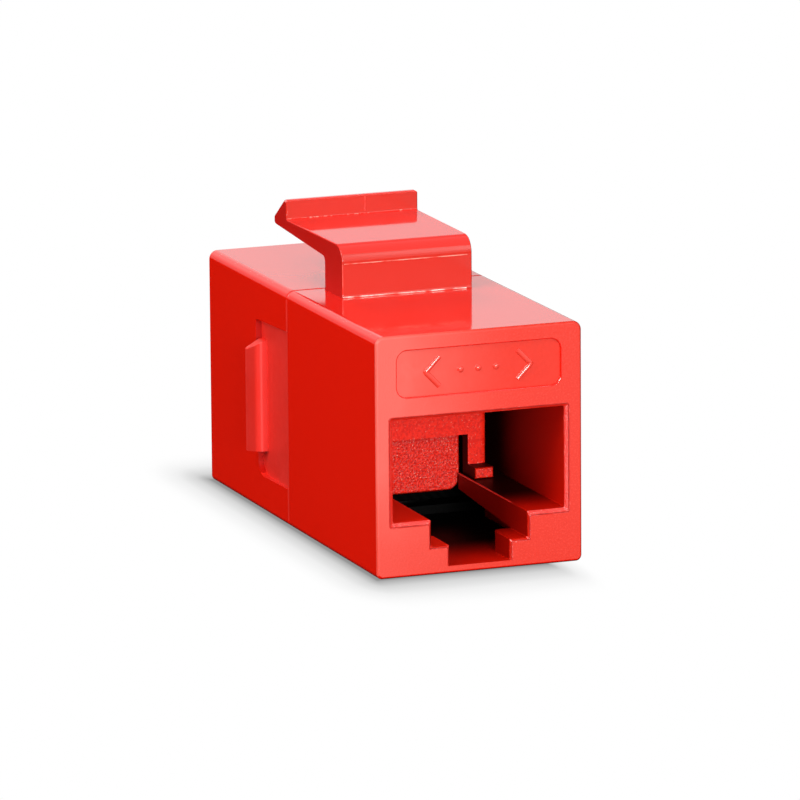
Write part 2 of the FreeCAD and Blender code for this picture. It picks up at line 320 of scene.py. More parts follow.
def buildPaintedSheen():
    # painted sheen: a paler colour over the left and upper part of a moulded face, fading across it and
    # patchy, in place of a lamp's broad highlight
    group, entry, place = newGroup("paintedSheen", {
        "From X": (-7.0, -20.0, 20.0), "To X": (3.0, -20.0, 20.0)}, ["Painted Sheen"])
    axes = axesOf(group, place)
    across = maths(group, "MULTIPLY", axes["X"], perMetre)
    fading = mapRange(group, across, entry["From X"], entry["To X"], 1.0, 0.0, "SMOOTHSTEP")
    rising = mapRange(group, axes["Z"], fromMin=2 * mm, fromMax=8 * mm, toMin=0.35)
    clouds = mapRange(group, noiseAt(group, place, scale=350.0), 0.0, 1.0, toMin=0.6, toMax=1.4)
    sheenSpread = maths(group, "MULTIPLY", fading, rising)
    addNode(group, "NodeGroupOutput", {"Painted Sheen": maths(group, "MULTIPLY", sheenSpread, clouds, clamp=True)})
    return group


def buildPebbleShade():
    # painted shade: full on the crowns of the pebbles, darker between them, and a painted shadow just under
    # the lintel
    group, entry, place = newGroup("pebbleShade", {
        "Pebble Size": (0.13, 0.01, 2.0), "Lintel Edge": (6.12, 0.0, 20.0)}, ["Raised"])
    pebbles = noiseAt(group, place, maths(group, "DIVIDE", perMetre, entry["Pebble Size"]))
    rise = mapRange(group, pebbles, fromMin=0.4, fromMax=0.56)
    height = maths(group, "MULTIPLY", axesOf(group, place)["Z"], perMetre)
    below = maths(group, "SUBTRACT", entry["Lintel Edge"], height)
    above = maths(group, "LESS_THAN", below, 0.0)
    under = maths(group, "DIVIDE", below, 0.35, clamp=True)     # the height of the shade
    lit = maths(group, "MAXIMUM", above, under)
    addNode(group, "NodeGroupOutput", {"Raised": maths(group, "MULTIPLY", rise, lit)})
    return group


def buildTears():
    # where thin flash has torn: how far its painted colour goes from dull to bright, and how high it stands
    group, entry, place = newGroup("tears", {"Tear Scale": (1400.0, 1.0, 9000.0)}, ["Share", "Height"])
    torn = noiseAt(group, place, entry["Tear Scale"])
    share = mapRange(group, torn, fromMin=0.35, fromMax=0.6)
    addNode(group, "NodeGroupOutput", {"Share": share, "Height": torn})
    return group


sparkGrain = buildSparkGrain()
paintedSheen = buildPaintedSheen()
mouldSkin = buildMouldSkin()
deepShade = buildDeepShade()
pebbleShade = buildPebbleShade()
tearTone = buildTears()
print("shader groups built")


# materials

plastic = {
    "red": (0.87, 0.0095, 0.0014, 1),
    "ior": 1.56,
    "coat": 0.5,
    "coatRoughness": 0.06,
    "waveSize": 5.0,
    "waveDepth": 0.0006,
    "glossFrom": 0.06,
    "glossTo": 0.11,
}
latchSkin = dict(plastic, red=(0.58, 0.024, 0.012, 1), coat=0.15, coatRoughness=0.15,
                 waveSize=2.5, waveDepth=0.0012, glossFrom=0.12, glossTo=0.2)
# a darker, duller copy of the red: painted shade on the latch's sides and on the side pockets' back walls
shadedSideSkin = dict(plastic, red=(0.46, 0.004, 0.001, 1), ior=1.28, coat=0.0, glossFrom=0.4, glossTo=0.5)
pocketSkin = dict(plastic, red=(0.77, 0.015, 0.006, 1), coat=0.05, coatRoughness=0.3,
                  waveSize=1.2, glossFrom=0.42, glossTo=0.5)
markSkin = dict(plastic, red=(0.86, 0.05, 0.03, 1), coat=0.6,
                waveSize=0.6, waveDepth=0.002, glossFrom=0.12, glossTo=0.2)
# inside, the skin is duller, and painted shade darkens the red between two depths: where it starts and ends
# in millimetres, and the share of red at the mouth and deep inside
insideSkin = {"roughness": 0.45, "ior": 1.4, "specular": 0.1, "dark": (0, 0, 0, 1)}
paintedShadeDepths = {
    "tunnelWall": (0.5, 12.5, 0.8, 0.02),
    "tunnelFloor": (0.5, 6.5, 0.8, 0.0),
    "shadedLedge": (0.4, 6.0, 0.72, 0.02),
    "litLedge": (1.0, 14.0, 1.0, 0.95),
    "stepWall": (1.0, 14.0, 0.42, 0.3),
}
faceSkin = {
    "grainSize": 0.12,
    "grainDepth": 0.01,
    "speckAndGlintShare": 0.48,
    "speckAndGlintMix": 0.7,
    "roughness": 0.46,
    "glint": 0.1,
    "red": (0.77, 0.02, 0.003, 1),
    "speckAndGlint": (0.86, 0.052, 0.03, 1),
    "paintedSheen": (0.84, 0.103, 0.076, 1),
    "specular": 0.5,
}
fieldSkin = dict(faceSkin, grainSize=0.35, grainDepth=0.006, speckAndGlintMix=0.3, roughness=0.4)
rimSkin = dict(faceSkin, grainDepth=0.03, speckAndGlintShare=0.42, roughness=0.3, paintedSheen=None,
               red=(0.72, 0.01, 0.002, 1), speckAndGlint=(0.95, 0.16, 0.11, 1))
combSkin = {
    "grainSize": 0.08,
    "grainDepth": 0.024,
    "speckAndGlintShare": 0.38,
    "speckAndGlintMix": 1.0,
    "roughness": 0.34,
    "glint": 0.16,
    "red": (1.0, 0.02, 0.006, 1),
    "valleyShade": (0.62, 0.004, 0.001, 1),
    "speckAndGlint": (1.0, 0.56, 0.42, 1),
    "paintedSheen": None,
    "specular": 0.25,
    "pebbleGrains": 1.6,        # size of a pebble, in grains
    # below the lintel's lower edge a painted shadow darkens the panel
    "lintelEdge": 6.12,         # height of the lintel's lower edge, which shades the panel below it
}
combFrameSkin = dict(combSkin, grainSize=0.1, grainDepth=0.012, speckAndGlintShare=0.36, speckAndGlintMix=0.7,
                     roughness=0.4, valleyShade=(0.82, 0.01, 0.003, 1))


def glossRed(name, look):
    material, tree = newMaterial(name)
    skin = placed(tree, mouldSkin, {
        "Wave Size": look["waveSize"], "Gloss From": look["glossFrom"], "Gloss To": look["glossTo"]}).outputs
    normal = bump(tree, skin["Height"], look["waveDepth"])
    # inside the tunnel, painted shade darkens the red with depth
    if name in paintedShadeDepths:
        light = placed(tree, deepShade, dict(enumerate(paintedShadeDepths[name])))
        return finishMaterial(material, {
            "Base Color": mixColour(tree, light, insideSkin["dark"], look["red"]),
            "Roughness": insideSkin["roughness"], "IOR": insideSkin["ior"],
            "Specular IOR Level": insideSkin["specular"], "Normal": normal})
    return finishMaterial(material, {
        "Base Color": look["red"], "Roughness": skin["Roughness"], "IOR": look["ior"],
        "Coat Weight": look["coat"], "Coat Roughness": look["coatRoughness"], "Normal": normal})


def grainedRed(name, look):
    material, tree = newMaterial(name)
    skin = placed(tree, sparkGrain, {
        "Grain Size": look["grainSize"], "Speck And Glint Share": look["speckAndGlintShare"]}).outputs
    ground = look["red"]
    if "valleyShade" in look:
        # painted shade: darker between the pebbles, and a painted shadow just under the lintel
        tone = placed(tree, pebbleShade, {
            "Pebble Size": look["pebbleGrains"] * look["grainSize"], "Lintel Edge": look["lintelEdge"]})
        ground = mixColour(tree, tone, look["valleyShade"], look["red"])
    # the highest grains take a paler colour: painted glints on the comb and the mouth's bevel, a faint
    # lighter speckle on the front face and the label field
    speckledAndGlinting = maths(tree, "MULTIPLY", skin["Specks And Glints"], look["speckAndGlintMix"])
    colour = mixColour(tree, speckledAndGlinting, ground, look["speckAndGlint"])
    # painted sheen over the left and upper part of the front face
    if look["paintedSheen"]:
        colour = mixColour(tree, placed(tree, paintedSheen), colour, look["paintedSheen"])
    glint = maths(tree, "MULTIPLY", skin["Specks And Glints"], -look["glint"])
    return finishMaterial(material, {
        "Base Color": colour, "Roughness": maths(tree, "ADD", glint, look["roughness"]),
        "IOR": plastic["ior"], "Specular IOR Level": look["specular"],
        "Normal": bump(tree, skin["Height"], look["grainDepth"])})


mask = {
    "weaveScale": 900.0,
    "weaveBend": 1.5,
    "weaveDepth": 0.01,
    "dark": (0.0006, 0.0007, 0.0007, 1),
    "pale": (0.002, 0.0022, 0.0022, 1),
    "roughness": 0.9,
    "specular": 0.02,
}


def boardMask(name):
    # black solder mask over glass cloth, with the weave just showing, made darker and duller than real mask:
    # painted shade for the dark inside of the coupler
    material, tree = newMaterial(name)
    weave = addNode(tree, "ShaderNodeTexWave", bands_direction="DIAGONAL", sockets={
        "Vector": objectPlace(tree), "Scale": mask["weaveScale"],
        "Distortion": mask["weaveBend"]}).outputs["Fac"]
    return finishMaterial(material, {
        "Base Color": mixColour(tree, weave, mask["dark"], mask["pale"]),
        "Normal": bump(tree, weave, mask["weaveDepth"]),
        "Roughness": mask["roughness"], "Specular IOR Level": mask["specular"]})


gold = {
    "streaks": (9000.0, 400.0, 400.0),      # narrow across the strip, long along it
    "detail": 3.0,
    "worn": (0.78, 0.50, 0.18, 1),
    "fresh": (0.90, 0.68, 0.32, 1),
    "glossFrom": 0.18,
    "glossTo": 0.34,
}


def goldSpring(name):
    # gold flash over bronze, wiped along the strip where plugs have slid
    material, tree = newMaterial(name)
    wipe = addNode(tree, "ShaderNodeMapping", {"Vector": objectPlace(tree), "Scale": gold["streaks"]})
    streaks = noiseAt(tree, wipe, 1.0, gold["detail"])
    return finishMaterial(material, {
        "Base Color": mixColour(tree, streaks, gold["worn"], gold["fresh"]),
        "Roughness": mapRange(tree, streaks, 0.0, 1.0, gold["glossFrom"], gold["glossTo"]),
        "Metallic": 1.0})


flashSkin = {"roughness": 0.35, "tearDepth": 0.01}


def paintedLineSkin(name, dull, bright):
    # thin beads at parting lines and edges, uneven along them; their colour is a painted highlight, and along
    # the mouths a painted shade
    material, tree = newMaterial(name)
    tears = placed(tree, tearTone).outputs
    return finishMaterial(material, {
        "Base Color": mixColour(tree, tears["Share"], dull, bright),
        "Roughness": flashSkin["roughness"],
        "Normal": bump(tree, tears["Height"], flashSkin["tearDepth"])})


glossShell = glossRed("glossShell", plastic)
latchGloss = glossRed("latchGloss", latchSkin)
shadedSide = glossRed("shadedSide", shadedSideSkin)
pocketSatin = glossRed("pocketSatin", pocketSkin)
markGloss = glossRed("markGloss", markSkin)
tunnelWall = glossRed("tunnelWall", plastic)
tunnelFloor = glossRed("tunnelFloor", plastic)
shadedLedge = glossRed("shadedLedge", plastic)
# a brighter copy of the red, painted light on the ledge on one side of the tunnel
litLedge = glossRed("litLedge", dict(plastic, red=(1.0, 0.014, 0.002, 1)))
stepWall = glossRed("stepWall", plastic)
grainedFace = grainedRed("grainedFace", faceSkin)
grainedField = grainedRed("grainedField", fieldSkin)
grainedRim = grainedRed("grainedRim", rimSkin)
grainedComb = grainedRed("grainedComb", combSkin)
grainedFrame = grainedRed("grainedFrame", combFrameSkin)
shadedBlackMask = boardMask("shadedBlackMask")
goldFlash = goldSpring("goldFlash")
flashBrightHighlight = paintedLineSkin("flashBrightHighlight", (0.8, 0.12, 0.09, 1), (1.0, 0.78, 0.7, 1))
flashPinkHighlight = paintedLineSkin("flashPinkHighlight", (0.72, 0.05, 0.03, 1), (1.0, 0.36, 0.28, 1))
shadeLineDark = paintedLineSkin("shadeLineDark", (0.4, 0.006, 0.001, 1), (0.56, 0.014, 0.004, 1))
flashSoftHighlight = paintedLineSkin("flashSoftHighlight", (0.88, 0.03, 0.018, 1), (0.95, 0.13, 0.1, 1))
print("materials built")


# housings

shellEdges = {
    "labelRadius": 0.09,
    "labelHigh": (12.0, 15.2),
    "labelAcross": (-5.8, 5.8),
    "ledgeRadius": 0.08,
    "ledgeHigh": (3.6, 3.75),
    "ledgeSide": 3.4,           # from the middle, give or take the slack
    "slack": 0.02,
}
# where the skins change, in millimetres: depths from the mouth, heights, and distances from the middle
shellZones = {
    "touching": 0.01, "flush": 0.004,
    "cornerDepth": 0.7, "cornerFrom": 6.6, "labelLow": 11.9, "rimDepth": 0.36, "rimHigh": 11.8,
    "portSide": 6.5, "tunnelFrom": 0.1, "carrierFrom": 12.5, "notchHigh": 1.3, "ledgeHigh": 3.7,
    "latchAbove": 0.02, "armHigh": 19.0,
    "pocketSide": 6.7, "pocketBack": 6.8, "pocketLow": 2.3, "pocketHigh": 13.6, "lugStepFrom": 5.8,
}
# how squarely a face looks along an axis, as the cosine
squarely = {"full": 0.9, "mostly": 0.7, "partly": 0.5, "cornerTurn": 0.42, "cornerTilt": 0.3}
lug = {"innerX": 6.95, "rampFrom": 5.3, "rampTo": 6.4, "crest": 0.56, "turned": -0.2, "tilted": 0.1}
arm = {"above": 19.5, "flat": 0.999, "rise": 2.5}       # millimetres, cosine and degrees

shellSkins = [glossShell, grainedFace, grainedField, grainedRim, latchGloss, shadedSide, pocketSatin,
              tunnelWall, tunnelFloor, shadedLedge, litLedge, stepWall]


def portSkin(face, middle, mouthSide):
    # floors, ledges and walls of the tunnel, darkened inwards by painted shade; one ledge painted lighter
    # than the other
    if face.normal.z > squarely["mostly"]:
        if middle.z < shellZones["notchHigh"]:
            return tunnelFloor
        return litLedge if middle.x * mouthSide > 0 else shadedLedge
    if abs(face.normal.x) > squarely["mostly"] and middle.z < shellZones["ledgeHigh"]:
        return stepWall
    return tunnelWall


def pocketSkinOf(face, middle):
    # the side pocket and its lug, and the plain side around them
    side = abs(middle.x)
    # the pocket's back walls wear the darker red: painted shade
    if (face.normal.y < -squarely["partly"] and middle.y > shellZones["lugStepFrom"]
            and side < coupler["halfWide"] - shellZones["touching"]):
        return shadedSide
    onSide = abs(side - coupler["halfWide"]) <= shellZones["flush"] and abs(face.normal.x) >= squarely["full"]
    return glossShell if onSide else pocketSatin


def skinOf(face, mouthSide):
    # which skin a face of a housing wears
    zone = shellZones
    middle = face.calc_center_median() / mm
    outward = face.normal.y * mouthSide
    depth = halfLength - middle.y * mouthSide
    side = abs(middle.x)
    onCorner = (outward > squarely["cornerTurn"] and depth < zone["cornerDepth"]
                and side > zone["cornerFrom"] and abs(face.normal.z) < squarely["cornerTilt"])
    if depth < zone["touching"] or onCorner:
        return grainedFace
    if middle.z > zone["labelLow"]:
        if outward > squarely["full"] and depth < coupler["labelDepth"] + zone["touching"]:
            return grainedField
        if depth < coupler["labelDepth"]:
            return grainedFace
    inPort = side < zone["portSide"] and coupler["innerLow"] < middle.z < coupler["innerHigh"]
    if depth < zone["rimDepth"] and inPort and middle.z < zone["rimHigh"]:
        return grainedRim
    if inPort and side < coupler["portHalf"]:
        if depth > zone["carrierFrom"]:
            return tunnelFloor
        if depth > zone["tunnelFrom"]:
            return portSkin(face, middle, mouthSide)
    if middle.z > coupler["height"] + zone["latchAbove"]:
        # the latch's sides wear the darker red: painted shade
        if abs(face.normal.x) > squarely["full"]:
            return shadedSide
        return glossShell if face.normal.z > squarely["partly"] and middle.z > zone["armHigh"] else latchGloss
    if (mouthSide > 0 and side > zone["pocketSide"] and middle.y < zone["pocketBack"]
            and zone["pocketLow"] < middle.z < zone["pocketHigh"]):
        return pocketSkinOf(face, middle)
    return glossShell


def lugNormal(poly, spot, normal):
    # the lug's ramp rounds over from its front step to its flat crest
    middle = poly.center / mm
    onRamp = poly.normal.y <= lug["turned"] and abs(poly.normal.z) <= lug["tilted"]
    if not onRamp or abs(middle.x) < lug["innerX"] or not lug["rampFrom"] < middle.y < lug["rampTo"]:
        return normal
    reach = abs(spot.x) / mm - coupler["halfWide"]
    turn = math.radians(90) * min(max(reach / lug["crest"], 0), 1)
    return Vector((math.copysign(math.sin(turn), spot.x), -math.cos(turn), 0))


def armNormal(poly, spot, normal):
    # the arm's flat top faces forward a little
    if spot.z > arm["above"] * mm and normal.z > arm["flat"]:
        rise = math.radians(arm["rise"])
        return Vector((0, -math.sin(rise), math.cos(rise)))
    return normal


def buildShell(name, node, mouthSide, ownNormal):
    work = cadCopy(node)
    for face in work.faces:
        face.material_index = shellSkins.index(skinOf(face, mouthSide))
    touching = shellZones["touching"]
    faceSpan = sorted((mouthSide * (halfLength + touching), mouthSide * (halfLength - touching)))
    slack = shellEdges["slack"] * mm

    def onLabel(edge):
        return (between(edge, 1, *faceSpan) and between(edge, 2, *shellEdges["labelHigh"])
                and between(edge, 0, *shellEdges["labelAcross"]))

    def onLedge(edge):
        return between(edge, 2, *shellEdges["ledgeHigh"]) and all(
            abs(abs(vert.co.x) - shellEdges["ledgeSide"] * mm) < slack for vert in edge.verts)

    roundEdges(work, shellEdges["labelRadius"], onLabel)
    roundEdges(work, shellEdges["ledgeRadius"], onLedge)
    return finishPiece(work, name, shellSkins, "housing_red", node, ownNormal=ownNormal)


frontShell = buildShell("frontShell", "front_housing", -1, armNormal)
rearShell = buildShell("rearShell", "rear_housing", 1, lugNormal)
print("housings dressed")


# contact carriers

comb = {
    "gridStep": 0.06,
    "pebbleSize": 0.125,
    "finePebbles": 1.9,         # how much finer the second pebbles are, and how strong
    "fineShare": 0.6,
    "panelRelief": 0.03,
    "frameRelief": 0.008,
    "pebblesFrom": 9.0,         # forward faces between these two depths are pebbled
    "pebblesTo": 13.0,
    "panelFrom": 12.9,          # behind this they are the panel's, with its deeper relief
    "frameTo": 12.95,           # above the lintel's edge, faces ahead of this wear the frame's skin
    "sameLevel": 0.004,
    "flat": 0.999,              # cosines: faces that look straight out of the mouth, and roughly
    "sloped": 0.6,
    "leastArea": 1e-13,         # square metres
}


def cutGrid(work, targets, step):
    for axis, across in ((0, Vector((1, 0, 0))), (2, Vector((0, 0, 1)))):
        corners = [vert.co[axis] for face in targets() for vert in face.verts]
        low, high = min(corners), max(corners)
        steps = max(1, round((high - low) / (step * mm)))
        for k in range(1, steps):
            spot = across * (low + (high - low) * k / steps)
            near = [face for face in targets()
                    if min(v.co[axis] for v in face.verts) < spot[axis] < max(v.co[axis] for v in face.verts)]
            parts = set(near)
            for face in near:
                parts.update(face.edges)
                parts.update(face.verts)
            bmesh.ops.bisect_plane(work, geom=list(parts), dist=1e-8, plane_co=spot, plane_no=across)


def pebbleFaces(work, isTarget, outward, relief):
    # cuts the faces into a fine grid and raises it into pebbles, leaving their borders where they are
    def targets():
        return [face for face in work.faces if isTarget(face)]

    cutGrid(work, targets, comb["gridStep"])
    faces = set(targets())
    verts = {vert for face in faces for vert in face.verts}
    for vert in verts:
        if all(face in faces for face in vert.link_faces):
            spot = vert.co / (comb["pebbleSize"] * mm)
            lift = noise.noise(spot) + comb["fineShare"] * noise.noise(spot * comb["finePebbles"])
            vert.co.y += outward * lift * relief * mm


def buildComb(name, node, mouthSide):
    work = cadCopy(node)

    def facesMouth(face):
        return face.normal.y * mouthSide > comb["flat"] and face.calc_area() > comb["leastArea"]

    def depthOf(face):
        return halfLength - abs(face.calc_center_median().y) / mm

    for face in work.faces:
        if face.normal.y * mouthSide > comb["sloped"]:
            high = face.calc_center_median().z / mm > combSkin["lintelEdge"]
            face.material_index = 2 if high and depthOf(face) < comb["frameTo"] else 1
    # pebbles go on the forward faces of the panel, the lintel, the legs and the feet
    for level in sorted({round(depthOf(face), 3) for face in work.faces if facesMouth(face)}):
        if comb["pebblesFrom"] < level < comb["pebblesTo"]:
            relief = comb["panelRelief"] if level > comb["panelFrom"] else comb["frameRelief"]
            pebbleFaces(work, lambda face: facesMouth(face)
                        and abs(depthOf(face) - level) < comb["sameLevel"], mouthSide, relief)
    finishPiece(work, name, [tunnelWall, grainedComb, grainedFrame], "carrier_red", node)


buildComb("frontComb", "front_contact_carrier", -1)
buildComb("rearComb", "rear_contact_carrier", 1)
print("contact carriers dressed")


# circuit board

board = {"radius": 0.05, "edgeZone": 0.9}


def buildBoard():
    work = cadCopy("circuit_board")
    inner = max(abs(vert.co.x) for vert in work.verts) - board["edgeZone"] * mm
    roundEdges(work, board["radius"], lambda edge: all(abs(vert.co.x) > inner for vert in edge.verts))
    finishPiece(work, "boardBlank", [shadedBlackMask], "board_black", "circuit_board")


buildBoard()
print("board dressed")


# node trees for what follows a path

def newTree(name, sizes, counts):
    # every tree takes sizes, whole numbers and a material
    tree = bpy.data.node_groups.new(name, "GeometryNodeTree")
    addSocket(tree, "Geometry", "INPUT", "Geometry")
    addSocket(tree, "Geometry", "OUTPUT", "Geometry")
    for label in sizes:
        addSocket(tree, label, "INPUT")
    for label in counts:
        addSocket(tree, label, "INPUT", "Int")
    addSocket(tree, "Material", "INPUT", "Material")
    return tree, addNode(tree, "NodeGroupInput").outputs


def finishTree(tree, entry, geometry, smooth=False):
    whole = addNode(tree, "GeometryNodeRealizeInstances", {"Geometry": geometry})
    if smooth:
        whole = addNode(tree, "GeometryNodeSetShadeSmooth", {"Geometry": whole})
    dressed = addNode(tree, "GeometryNodeSetMaterial", {"Geometry": whole, "Material": entry["Material"]})
    addNode(tree, "NodeGroupOutput", {"Geometry": dressed})
    return tree


def applied(source, tree, values, name):
    # runs the tree over the object once, keeps the result as a plain mesh and removes the object
    ids = {item.name: item.identifier for item in tree.interface.items_tree if item.in_out == "INPUT"}
    modifier = source.modifiers.new("shape", "NODES")
    modifier.node_group = tree
    for label, value in values.items():
        modifier[ids[label]] = value
    graph = bpy.context.evaluated_depsgraph_get()
    mesh = bpy.data.meshes.new_from_object(source.evaluated_get(graph), depsgraph=graph)
    source.modifiers.clear()
    bpy.data.objects.remove(source)
    mesh.name = name
    return mesh


def pathObject(name, points, edges):
    mesh = bpy.data.meshes.new(name)
    mesh.from_pydata(points, edges, [])
    return newObject(name, mesh)


def strandObject(name, strands):
    # strands of points in millimetres, joined only along themselves
    points = []
    edges = []
    for strand in strands:
        edges += [(len(points) + k, len(points) + k + 1) for k in range(len(strand) - 1)]
        points += [Vector(spot) * mm for spot in strand]
    return pathObject(name, points, edges)


# a bead along a path, as the mouths' shade lines have it: sizes in millimetres, and the share where it thins
# out
bead = {
    "radius": 0.05,
    "step": 0.1,
    "wobble": 0.01,
    "gaps": 0.0,
    "gapSize": 1.4,
    "seed": 4.0,
    "sides": 6,
}
beadForm = {"driftScale": 2200.0, "driftDetail": 2.0, "gapDetail": 3.0, "gapBlend": 0.12, "thinnest": 0.08}


def buildRidgeTree():
    # a round bead along each strand, wandering a little and thinning out here and there
    tree, entry = newTree("ridgeAlong", ["Radius", "Step", "Wobble", "Gaps", "Gap Size", "Seed"], ["Sides"])
    curve = addNode(tree, "GeometryNodeMeshToCurve", {"Mesh": entry["Geometry"]})
    even = addNode(tree, "GeometryNodeResampleCurve", {
        "Curve": curve, "Length": entry["Step"]}, mode="LENGTH")
    drift = addNode(tree, "ShaderNodeTexNoise", noise_dimensions="4D", sockets={
        "Scale": beadForm["driftScale"], "Detail": beadForm["driftDetail"], "W": entry["Seed"]})
    centred = addNode(tree, "ShaderNodeVectorMath", {
        0: drift.outputs["Color"], 1: (0.5, 0.5, 0.5)}, operation="SUBTRACT")
    shift = addNode(tree, "ShaderNodeVectorMath", {0: centred, "Scale": entry["Wobble"]}, operation="SCALE")
    moved = addNode(tree, "GeometryNodeSetPosition", {"Geometry": even, "Offset": shift})
    breaks = addNode(tree, "ShaderNodeTexNoise", noise_dimensions="4D", sockets={
        "Scale": maths(tree, "DIVIDE", 1.0, entry["Gap Size"]),
        "Detail": beadForm["gapDetail"], "W": entry["Seed"]})
    upper = maths(tree, "ADD", entry["Gaps"], beadForm["gapBlend"])
    full = mapRange(tree, breaks, entry["Gaps"], upper, beadForm["thinnest"])
    ring = addNode(tree, "GeometryNodeCurvePrimitiveCircle", {"Resolution": entry["Sides"]})
    swept = addNode(tree, "GeometryNodeCurveToMesh", {
        "Curve": moved, "Profile Curve": ring, "Fill Caps": True,
        "Scale": maths(tree, "MULTIPLY", full, entry["Radius"])})
    return finishTree(tree, entry, swept, smooth=True)


ridgeAlong = buildRidgeTree()


def beads(source, name, material, look):
    return applied(source, ridgeAlong, {
        "Radius": look["radius"] * mm, "Step": look["step"] * mm, "Wobble": look["wobble"] * mm,
        "Gaps": look["gaps"], "Gap Size": look["gapSize"] * mm, "Seed": look["seed"],
        "Sides": look["sides"], "Material": material}, name)


# flash beads where the mould's parts meet and along some edges, their pale colour a painted highlight

flash = {
    "torn": {
        "skin": flashBrightHighlight,
        "look": dict(bead, radius=0.04, step=0.09, wobble=0.05, gaps=0.36, gapSize=1.1, seed=3.0),
        "lines": [[(-4.62, -3.22, 16.26), (4.2, -3.22, 16.26)]],
    },
    "drawn": {
        "skin": flashPinkHighlight,
        "look": dict(bead, radius=0.035, step=0.12, wobble=0.03, gaps=0.15, gapSize=1.5, seed=5.0),
        "lines": [[(-4.5, -3.14, 18.5), (4.3, -3.14, 18.5)]],
    },
    "crumbs": {
        "skin": flashPinkHighlight,
        "look": dict(bead, radius=0.032, step=0.06, wobble=0.07, gaps=0.48, gapSize=0.3, seed=7.0),
        "lines": [[(-4.7, 7.23, 19.76), (1.2, 7.23, 19.76)], [(3.4, 7.24, 19.78), (4.6, 7.24, 19.78)]],
    },
    "fine": {
        "skin": flashSoftHighlight,
        "look": dict(bead, radius=0.025, step=0.15, wobble=0.012, gaps=0.1, gapSize=1.1, seed=8.0),
        "lines": [
            [(-4.6, -3.13, 16.4), (-4.6, -3.13, 18.45)],
            [(0.93, 7.25, 19.9), (0.93, 7.25, 20.9)],
            *[[(side * 8.1, 6.44, 4.3), (side * 8.1, 6.44, 11.2)] for side in (-1, 1)],
            *[[(side * 7.22, 0.1, 13.47), (side * 7.22, 6.6, 13.2)] for side in (-1, 1)],
        ],
    },
}


def buildFlash():
    for kind, line in flash.items():
        name = kind + "Flash"
        mesh = beads(strandObject(name + "Path", line["lines"]), name, line["skin"], line["look"])
        keepOn(newObject(name, mesh), "housing_red")


mouthShadeLine = {
    "inset": 0.09,              # from the bevel's upper edge, down the bevel
    "sunk": 0.022,
}


def buildMouthShadeLine(name, shell):
    # a dark bead just inside the upper edge of the mouth's bevel, taken from the shell's own edges: a painted
    # line of shade
    mesh = shell.data
    face, rim = shellSkins.index(grainedFace), shellSkins.index(grainedRim)
    bevels = {}
    for key, polys in facesByEdge(mesh).items():
        if {poly.material_index for poly in polys} == {face, rim}:
            bevels[key] = next(poly for poly in polys if poly.material_index == rim)
    shifts = {}
    for (first, second), bevel in bevels.items():
        start, stop = mesh.vertices[first].co, mesh.vertices[second].co
        down = bevel.normal.cross(stop - start).normalized()
        if down.dot(bevel.center - (start + stop) / 2) < 0:
            down.negate()
        shift = down * mouthShadeLine["inset"] - bevel.normal * mouthShadeLine["sunk"]
        for index in (first, second):
            shifts.setdefault(index, []).append(shift)
    order = {index: k for k, index in enumerate(sorted(shifts))}
    points = [mesh.vertices[index].co + sum(shifts[index], Vector()) / len(shifts[index]) * mm
              for index in order]
    source = pathObject(name + "Path", points, [(order[first], order[second]) for first, second in bevels])
    keepOn(newObject(name, beads(source, name, shadeLineDark, bead)), "housing_red")


buildFlash()
buildMouthShadeLine("frontShadeLine", frontShell)
buildMouthShadeLine("rearShadeLine", rearShell)
print("flash and grooves drawn")


# the raised mark in the label field, two brackets and three dots

mark = {
    "middleHigh": 13.6,
    "halfHigh": 0.98,
    "tipX": 3.7,
    "armX": 2.75,
    "dots": (-1.25, 0.0, 1.25),
    "dotRadius": 0.3,
    "sunk": 0.05,               # the strokes' middle line lies this far behind the field's floor
    "dotSunk": 0.14,            # and the dots' middles this much further
    "look": dict(bead, radius=0.2, step=0.12, gaps=-0.5, gapSize=1.0, seed=2.0, sides=16),
}


def buildMark():
    y = -halfLength + coupler["labelDepth"] + mark["sunk"]
    middle, half = mark["middleHigh"], mark["halfHigh"]
    strands = [[(side * mark["armX"], y, middle + half), (side * mark["tipX"], y, middle),
                (side * mark["armX"], y, middle - half)] for side in (-1, 1)]
    mesh = beads(strandObject("portMarkPath", strands), "portMark", markGloss, mark["look"])
    work = bmesh.new()
    work.from_mesh(mesh)
    for x in mark["dots"]:
        spot = Vector((x, y + mark["dotSunk"], middle)) * mm
        ball = bmesh.ops.create_icosphere(work, subdivisions=3, radius=mark["dotRadius"] * mm,
                                          matrix=Matrix.Translation(spot))
        for vert in ball["verts"]:
            for face in vert.link_faces:
                face.smooth = True
    bpy.data.meshes.remove(mesh)
    keepOn(finishMesh(work, "portMark", [markGloss]), "housing_red")


buildMark()
print("mark raised")


# contacts: gilt strips from the comb, round the tongue's tip and back to the board

spring = {
    "count": 8,
    "pitch": 1.016,
    "width": 0.46,
    "thick": 0.3,
    "corner": 0.05,
    "cornerSteps": 2,
    "endDepth": 12.4,
    "endHigh": 8.55,
    "tongueFront": 3.75,
    "tongueGap": 0.1,
    "loop": 0.38,
    "loopSteps": 14,
    "upperRow": 11.3,
    "lowerRow": 8.76,
    "jogDepth": 15.1,
    "jogRadius": 0.36,
    "jogSteps": 6,
    "backDepth": 16.88,
}


def arcPoints(centre, radius, fromAngle, toAngle, steps):
    angles = [fromAngle + (toAngle - fromAngle) * k / steps for k in range(steps + 1)]
    return [(centre[0] + radius * math.cos(a), centre[1] + radius * math.sin(a)) for a in angles]


